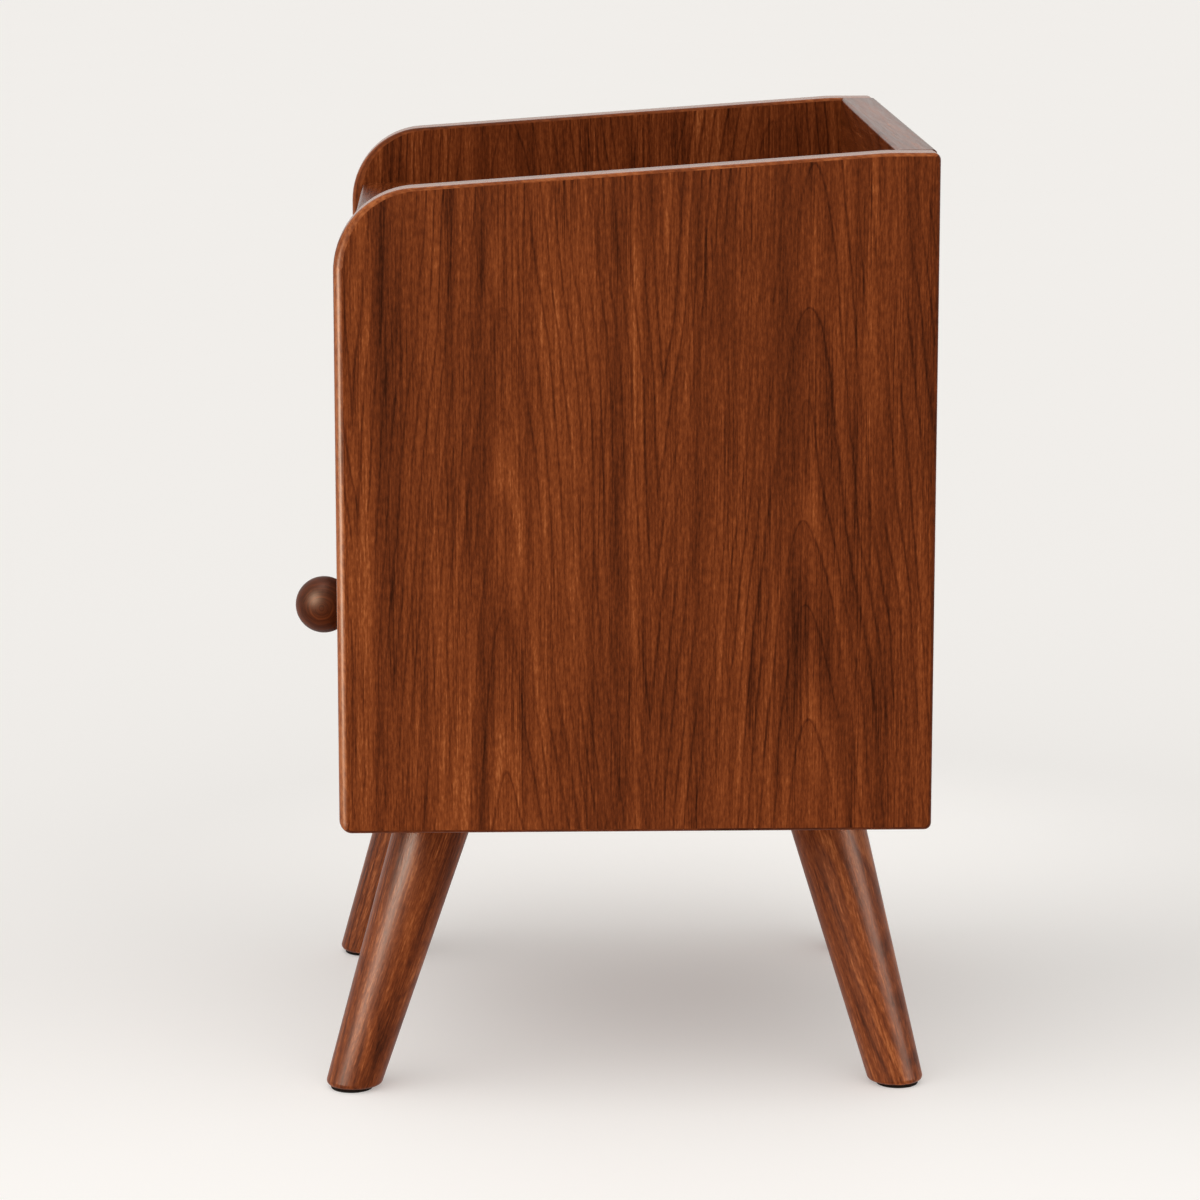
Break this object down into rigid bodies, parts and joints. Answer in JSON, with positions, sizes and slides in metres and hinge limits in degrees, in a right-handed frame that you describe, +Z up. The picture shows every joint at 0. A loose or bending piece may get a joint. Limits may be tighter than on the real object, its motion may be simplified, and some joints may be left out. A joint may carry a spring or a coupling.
{
  "type": "nightstand",
  "caption": "Bedside cabinet with a railed tray top, an open niche and one drawer on telescopic slides, on splayed tapered legs.",
  "frame": {"origin": "floor under the middle of the footprint, the knob and the rear feet included", "axes": "+Z up, -Y to the front where the drawer opens, +X to the right of someone in front"},
  "size_m": [0.475, 0.4198, 0.625],
  "materials": {
    "walnut_side": "satin",
    "walnut_panel": "satin",
    "walnut_front": "satin",
    "walnut_leg": "satin",
    "walnut_knob": "satin",
    "back_board": "satin",
    "drawer_board": "satin",
    "dowel_wood": "satin",
    "slide_steel": "zinc plated",
    "ball_steel": "polished",
    "fastener_steel": "zinc plated",
    "cam_zinc": "die cast",
    "glide_black": "matte"
  },
  "bodies": {
    "cabinet": {"side_panel_left": "walnut_side", "side_panel_right": "walnut_side", "top_panel": "walnut_panel", "divider_shelf": "walnut_panel", "bottom_panel": "walnut_panel", "back_gallery": "walnut_panel", "back_panel": "back_board", "panel_dowels": "dowel_wood", "gallery_dowels": "dowel_wood", "leg_dowels": "dowel_wood", "cam_locks": "cam_zinc", "cam_bolts": "fastener_steel", "back_panel_screws": "fastener_steel", "slide_screws_cabinet": "fastener_steel", "leg_hanger_bolts": "fastener_steel", "leg_tee_nuts": "fastener_steel", "slide_cabinet_left": "slide_steel", "leg_front_left": "walnut_leg", "foot_glide_front_left": "glide_black", "leg_rear_left": "walnut_leg", "foot_glide_rear_left": "glide_black", "slide_cabinet_right": "slide_steel", "leg_front_right": "walnut_leg", "foot_glide_front_right": "glide_black", "leg_rear_right": "walnut_leg", "foot_glide_rear_right": "glide_black"},
    "drawer": {"drawer_front": "walnut_front", "drawer_side_left": "drawer_board", "drawer_side_right": "drawer_board", "drawer_back": "drawer_board", "drawer_bottom": "drawer_board", "drawer_knob": "walnut_knob", "knob_screw": "fastener_steel", "drawer_dowels": "dowel_wood", "slide_drawer_left": "slide_steel", "slide_drawer_right": "slide_steel", "slide_screws_drawer": "fastener_steel"},
    "slide_middle_left": {"slide_middle_left": "slide_steel"},
    "cage_cabinet_left": {"ball_cage_cabinet_left": "slide_steel", "balls_cabinet_left": "ball_steel"},
    "cage_drawer_left": {"ball_cage_drawer_left": "slide_steel", "balls_drawer_left": "ball_steel"},
    "slide_middle_right": {"slide_middle_right": "slide_steel"},
    "cage_cabinet_right": {"ball_cage_cabinet_right": "slide_steel", "balls_cabinet_right": "ball_steel"},
    "cage_drawer_right": {"ball_cage_drawer_right": "slide_steel", "balls_drawer_right": "ball_steel"}
  },
  "joints": [
    {"name": "drawer_slide", "type": "slide", "parent": "cabinet", "child": "drawer", "axis": [0, -1, 0], "range_m": [0, 0.28]},
    {"name": "slide_middle_left_run", "type": "slide", "parent": "cabinet", "child": "slide_middle_left", "axis": [0, -1, 0], "range_m": [0, 0.14]},
    {"name": "cage_cabinet_left_run", "type": "slide", "parent": "cabinet", "child": "cage_cabinet_left", "axis": [0, -1, 0], "range_m": [0, 0.07]},
    {"name": "cage_drawer_left_run", "type": "slide", "parent": "cabinet", "child": "cage_drawer_left", "axis": [0, -1, 0], "range_m": [0, 0.21]},
    {"name": "slide_middle_right_run", "type": "slide", "parent": "cabinet", "child": "slide_middle_right", "axis": [0, -1, 0], "range_m": [0, 0.14]},
    {"name": "cage_cabinet_right_run", "type": "slide", "parent": "cabinet", "child": "cage_cabinet_right", "axis": [0, -1, 0], "range_m": [0, 0.07]},
    {"name": "cage_drawer_right_run", "type": "slide", "parent": "cabinet", "child": "cage_drawer_right", "axis": [0, -1, 0], "range_m": [0, 0.21]}
  ],
  "couplings": [
    {"joint": "slide_middle_left_run", "follows": "drawer_slide", "ratio": 0.5},
    {"joint": "cage_cabinet_left_run", "follows": "drawer_slide", "ratio": 0.25},
    {"joint": "cage_drawer_left_run", "follows": "drawer_slide", "ratio": 0.75},
    {"joint": "slide_middle_right_run", "follows": "drawer_slide", "ratio": 0.5},
    {"joint": "cage_cabinet_right_run", "follows": "drawer_slide", "ratio": 0.25},
    {"joint": "cage_drawer_right_run", "follows": "drawer_slide", "ratio": 0.75}
  ]
}
